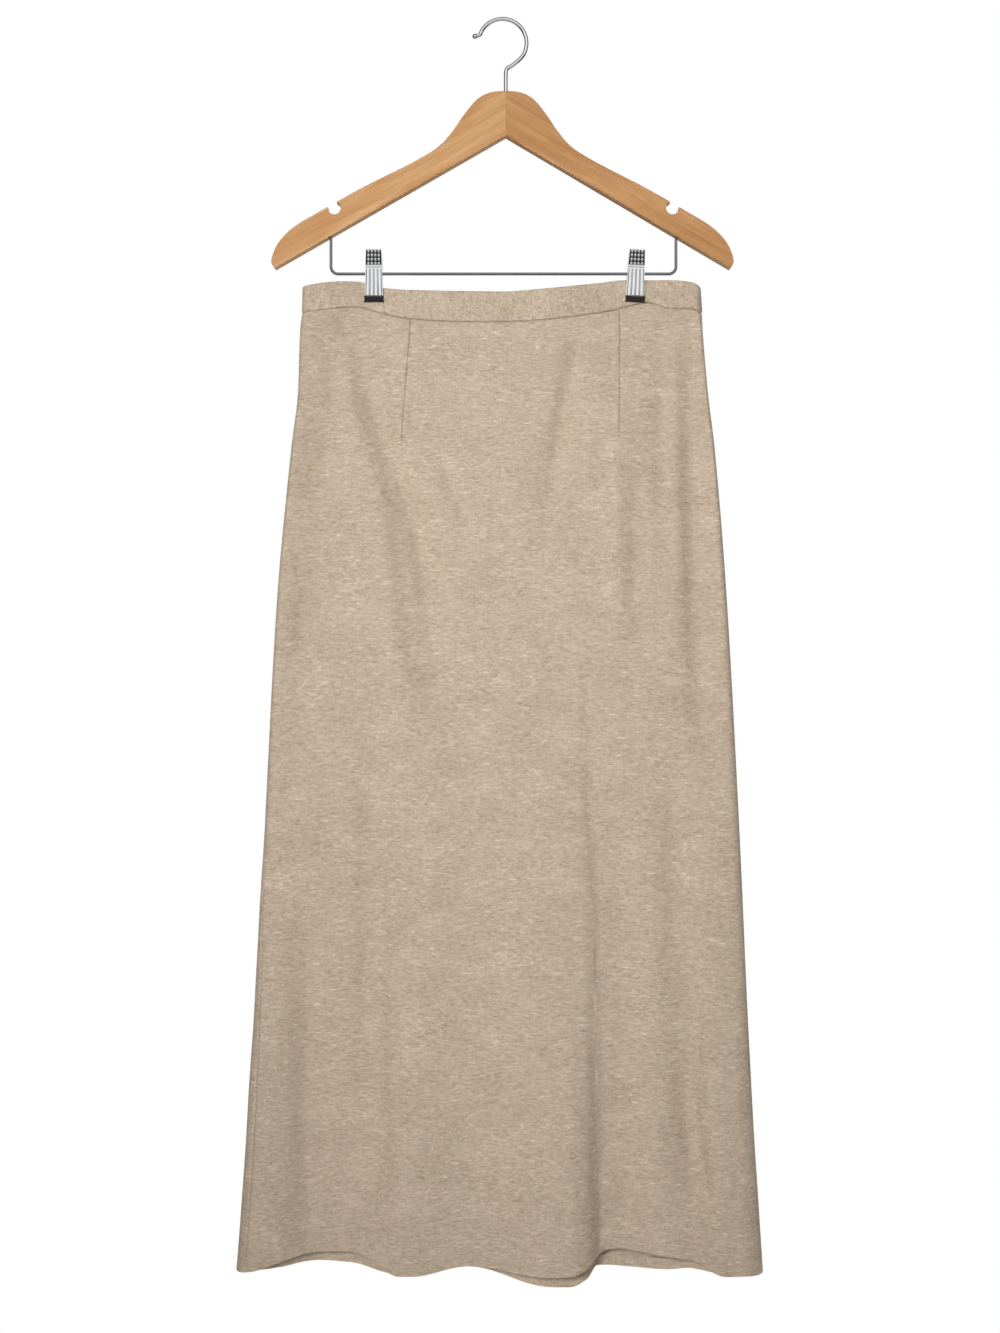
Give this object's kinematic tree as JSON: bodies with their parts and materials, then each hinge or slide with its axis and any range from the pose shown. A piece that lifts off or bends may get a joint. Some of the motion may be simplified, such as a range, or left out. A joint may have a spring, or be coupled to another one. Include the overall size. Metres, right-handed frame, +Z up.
{
  "type": "maxi skirt on a clip hanger",
  "caption": "Long A-line maxi skirt in heathered linen-look cloth with a waistband and waist darts, hung by chrome clips from a bowed wooden hanger with a wire hook.",
  "frame": {"origin": "inside top of the hook, the point that bears on a rail", "axes": "+X to the right as the front is seen, +Y away from the front, +Z up"},
  "size_m": [0.5073, 0.0525, 1.2237],
  "materials": {
    "cloth": "heathered linen-look weave, matte",
    "wood": "clear satin lacquer",
    "chrome": "bright plated",
    "rubber": "matte moulded"
  },
  "bodies": {
    "root": {"front_panel": "cloth", "back_panel": "cloth", "waistband_front": "cloth", "waistband_back": "cloth", "hanger_arm_left": "wood", "hanger_arm_right": "wood", "hook": "chrome", "clip_bar": "chrome", "clip_left_jaw_front": "chrome", "clip_left_jaw_back": "chrome", "clip_left_pad_front": "rubber", "clip_left_pad_back": "rubber", "clip_left_spring": "chrome", "clip_right_jaw_front": "chrome", "clip_right_jaw_back": "chrome", "clip_right_pad_front": "rubber", "clip_right_pad_back": "rubber", "clip_right_spring": "chrome"}
  },
  "joints": []
}
